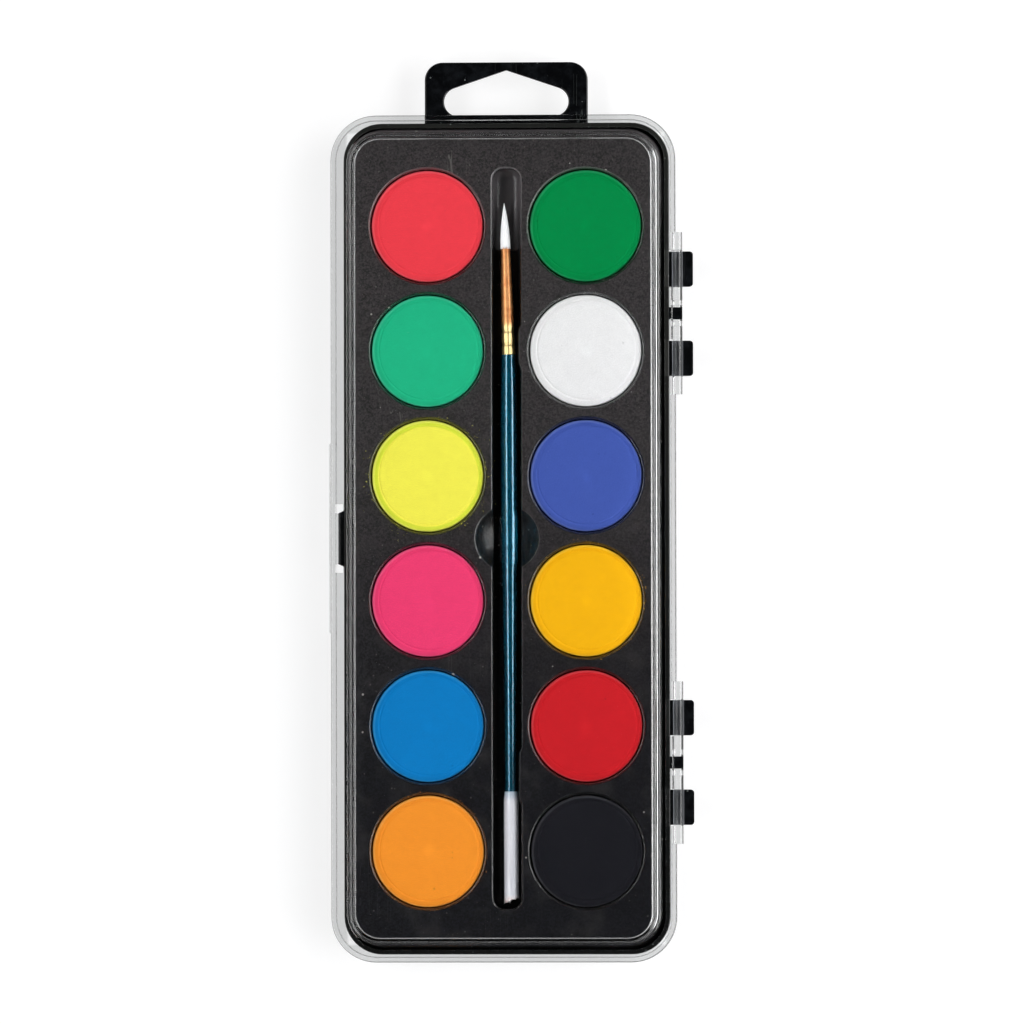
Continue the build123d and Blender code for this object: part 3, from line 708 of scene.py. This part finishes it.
def ferrule():
    """A tapered tube whose crimped part is pressed into flats.

    Radius runs straight from neck to mouth, less two grooves shaped as bell curves. Its section is
    a circle, blended over the crimped part into an eight-sided figure with blunted corners. The
    mouth turns in to a thin edge.
    """
    sides, blunt = 8, 0.965
    grooves, groove_depth, groove_width = (2.7 * MM, 6.2 * MM), 0.17 * MM, 0.36 * MM
    flats_end, flats_fade = 9.2 * MM, 1.8 * MM
    start, end = brush_axis("brush_ferrule")
    low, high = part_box("brush_ferrule")
    length = np.linalg.norm(end - start)
    neck, mouth = (high[2] - low[2]) / 2, 1.2 * MM
    turn = np.linspace(0, 2 * np.pi, 120, endpoint=False)
    crimped, plain = np.linspace(0, 9.5, 77), np.linspace(9.8, length / MM, 24)
    along = np.concatenate([crimped, plain]) * MM
    reach = neck + (mouth - neck) * along / length
    for place in grooves:
        reach = reach - groove_depth * np.exp(-((along - place) / groove_width) ** 2)
    flat = np.cos(np.pi / sides) / np.cos((turn % (2 * np.pi / sides)) - np.pi / sides)
    flat = np.minimum(flat, blunt)
    pressed = np.clip((flats_end - along) / flats_fade, 0, 1)[:, None]
    wall = reach[:, None] * (1 + pressed * (flat - 1))
    # Rings that close the ends: millimetres past the end, share of the wall's radius
    lead = np.array([(0.0, 0.5), (0.0, 0.97)])
    tail = np.array([(0.0, 0.96), (-0.1, 0.9), (-0.3, 0.3)])
    rows = np.concatenate([lead[:, :1] * MM, along[:, None], length + tail[:, :1] * MM])
    full = np.concatenate([lead[:, 1:] * wall[:1], wall, tail[:, 1:] * wall[-1:]])
    rings = round_axis(start, end, rows + 0 * full, full, turn + 0 * full)
    piece = closed_tubes("ferrule_tube", rings[None], ferrule_material())
    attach(piece, "brush")
    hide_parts("brush_ferrule")


def tuft():
    """Hairs laid round a solid core. Radius is the root's times 1 - t^1.9, t from root to tip.

    Each hair keeps its own share of that radius, drifts round the tuft as it rises, thins towards
    its tip, and ends at its own height.
    """
    length, root, taper = 11.6 * MM, 1.27 * MM, 1.9
    count, rows, hair_radius = 300, 12, 0.045 * MM
    neck, start = brush_axis("brush_ferrule")
    ahead = (start - neck) / np.linalg.norm(start - neck)
    rng = np.random.default_rng(11)
    turn = np.linspace(0, 2 * np.pi, 72, endpoint=False)
    share = np.linspace(-0.15, 1, 40)[:, None]
    swell = 1 - np.clip(share, 0, 1) ** taper
    furrow = 1 + 0.03 * np.sin(23 * turn) * np.sin(9 * turn + 2)
    core = (root * (0.03 + 0.9 * swell)) * furrow * np.where(share < 0, 0.8, 1)
    made = bristle_material()
    rings = round_axis(start, start + ahead, share * length + 0 * core, core, turn + 0 * core)
    solid = closed_tubes("tuft_core", rings[None], made)
    where = rng.uniform(0, 2 * np.pi, count)[:, None, None]
    ring = np.sqrt(rng.uniform(0.72, 1.02, count))[:, None, None]
    stop = rng.uniform(0.86, 1.0, count)[:, None, None]
    t = np.linspace(-0.04, 1, rows)[None, :, None] * stop
    reach = root * (0.02 + 0.98 * (1 - np.clip(t, 0, 1) ** taper)) * ring
    drift = where + rng.normal(0, 0.12, count)[:, None, None] * t
    middle = round_axis(start, start + ahead, t * length, reach, drift)
    corner = np.arange(3) * 2 * np.pi / 3
    thick = hair_radius * np.clip(1.15 - t / stop, 0.12, 1)
    hair = round_axis(np.zeros(3), ahead, 0 * corner + 0 * thick, thick + 0 * corner,
                      corner + 0 * thick)
    hairs = closed_tubes("tuft_hairs", middle + hair, made)
    for piece in (solid, hairs):
        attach(piece, "brush")
    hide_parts("brush_bristles")


def sleeve():
    """A tube on the handle's tail: plain wall, narrowed mouth, and a torn slanting end.

    The end's height falls across the tube as a cosine of the angle plus three small sine waves.
    """
    radius, mouth_length, narrowing = 1.95 * MM, 2.6 * MM, 0.3 * MM
    start, end = brush_axis("brush_end_sleeve")
    length = np.linalg.norm(end - start)
    turn = np.linspace(0, 2 * np.pi, 120, endpoint=False)
    share = np.linspace(0, 1, 60)[:, None]
    mouth = np.clip((share * length - (length - mouth_length)) / mouth_length, 0, 1)
    reach = radius - narrowing * mouth ** 1.4 + 0 * turn
    waves = np.sin(5 * turn) + np.sin(9 * turn + 1) + np.sin(14 * turn + 4)
    torn = 0.9 * MM + 0.75 * MM * np.cos(turn) + 0.09 * MM * waves
    along = share * length + (1 - share) ** 12 * torn
    # Rings that close the torn end, and the mouth over the handle
    lead_reach = np.array([0.2, 0.55, 0.8, 0.93])[:, None] * radius + 0 * turn
    dents = np.array([0.42, 0.3, 0.16, 0.04])[:, None] * MM * np.sin(3 * turn + 1) ** 2
    lead_along = along[:1] + dents + 0.1 * MM
    tail_reach = np.array([1.56, 1.2, 0.4])[:, None] * MM + 0 * turn
    tail_along = np.array([0.0, -0.2, -0.2])[:, None] * MM + length + 0 * turn
    full = np.concatenate([lead_reach, reach, tail_reach])
    rows = np.concatenate([lead_along, along, tail_along])
    rings = round_axis(start, end, rows, full, turn + 0 * full)
    piece = closed_tubes("sleeve_tube", rings[None], sleeve_material())
    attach(piece, "brush")
    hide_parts("brush_end_sleeve")


# The floor, the light and the camera

def make_floor():
    """A pale floor under the case, white to the camera where no shadow falls."""
    low = cad_box[0]
    mesh = bpy.data.meshes.new("floor")
    half = FLOOR_SIDE / 2
    mesh.from_pydata([(-half, -half, low[2]), (half, -half, low[2]), (half, half, low[2]),
                      (-half, half, low[2])], [], [(0, 1, 2, 3)])
    made, tree, shader = new_material("floor_pale")
    path = add(tree, "ShaderNodeLightPath").outputs
    seen = calculate(tree, "MAXIMUM", path["Is Camera Ray"], path["Is Glossy Ray"])
    seen = calculate(tree, "MAXIMUM", seen, path["Is Transmission Ray"])
    set_shader(tree, shader, {"Base Color": screen(176, 176, 177), "Roughness": 0.9,
                              "Specular IOR Level": 0.0})
    glow = add(tree, "ShaderNodeEmission", {"Color": (1, 1, 1, 1),
                                            "Strength": calculate(tree, "MULTIPLY", seen, FLOOR_GLOW)})
    both = add(tree, "ShaderNodeAddShader", {0: shader.outputs[0], 1: glow.outputs[0]})
    put(tree, tree.nodes["Material Output"].inputs["Surface"], both.outputs[0])
    mesh.materials.append(made)
    floor = bpy.data.objects.new("floor", mesh)
    bpy.context.scene.collection.objects.link(floor)


def make_lamp(name, side, elevation, distance, width, length, share):
    """A long softbox beside the set; share is its part of the light on the floor, 1 being white."""
    data = bpy.data.lights.new(name, "AREA")
    data.shape = "RECTANGLE"
    data.size = length
    data.size_y = width
    solid_angle = width * length / distance ** 2
    radiance = share * math.pi / (solid_angle * math.sin(elevation))
    data.energy = radiance * math.pi * width * length
    lamp = bpy.data.objects.new(name, data)
    toward = Vector((side * math.cos(elevation), 0, math.sin(elevation)))
    along = Vector((0, 1, 0))
    up = toward.cross(along)
    lamp.matrix_world = Matrix.Translation(toward * distance) @ Matrix(
        (along, up, toward)).transposed().to_4x4()
    lamp.visible_camera = False
    bpy.context.scene.collection.objects.link(lamp)


def make_world():
    """A dim room: white at the horizon on the key lamp's side, dark overhead and elsewhere."""
    world = bpy.data.worlds.new("room")
    bpy.context.scene.world = world
    world.use_nodes = True
    tree = world.node_tree
    direction = add(tree, "ShaderNodeTexCoord").outputs["Generated"]
    parts = add(tree, "ShaderNodeSeparateXYZ", {"Vector": direction}).outputs
    level = ramp(tree, parts["Z"], 0.1, 0.72, 1.0, OVERHEAD_LEVEL)
    sides = ramp(tree, parts["X"], 0.1, 0.7, UNLIT_SIDE_LEVEL, 1.0)
    level = calculate(tree, "MULTIPLY", level, sides)
    put(tree, tree.nodes["Background"].inputs["Color"], (1, 1, 1, 1))
    put(tree, tree.nodes["Background"].inputs["Strength"], level)


def make_camera():
    """A long lens above the set, leaning a little and framing it as the photograph does."""
    data = bpy.data.cameras.new("camera")
    data.sensor_width = 36.0
    data.lens = data.sensor_width * CAMERA_DISTANCE / FIELD_WIDTH
    data.clip_start = 0.05
    data.clip_end = 50.0
    camera = bpy.data.objects.new("camera", data)
    away = Vector((math.tan(LEAN_HINGE), -math.tan(LEAN_NEAR), 1.0)).normalized()
    right = Vector((0, 1, 0)).cross(away).normalized()
    up = away.cross(right)
    turn = Matrix((right, up, away)).transposed() @ Matrix.Rotation(-ROLL, 3, "Z")
    camera.matrix_world = Matrix.Translation(AIM + away * CAMERA_DISTANCE) @ turn.to_4x4()
    bpy.context.scene.collection.objects.link(camera)
    bpy.context.scene.camera = camera


def main():
    """Dresses the carried-over nodes, makes the finer pieces, and sets the floor, light and camera."""
    dress("case", case_material())
    dress("palette_insert", insert_material())
    dress("lid", clear_material())
    dress("tablet_glue", glue_material())
    dress("brush_handle", handle_material())
    for name, colour in PAINTS.items():
        tablet(name, paint_material(name, colour))
    ferrule()
    tuft()
    sleeve()
    make_floor()
    for name, lamp in LAMPS.items():
        make_lamp(name, *lamp)
    make_world()
    make_camera()
    bpy.context.scene.view_settings.view_transform = "Standard"


main()
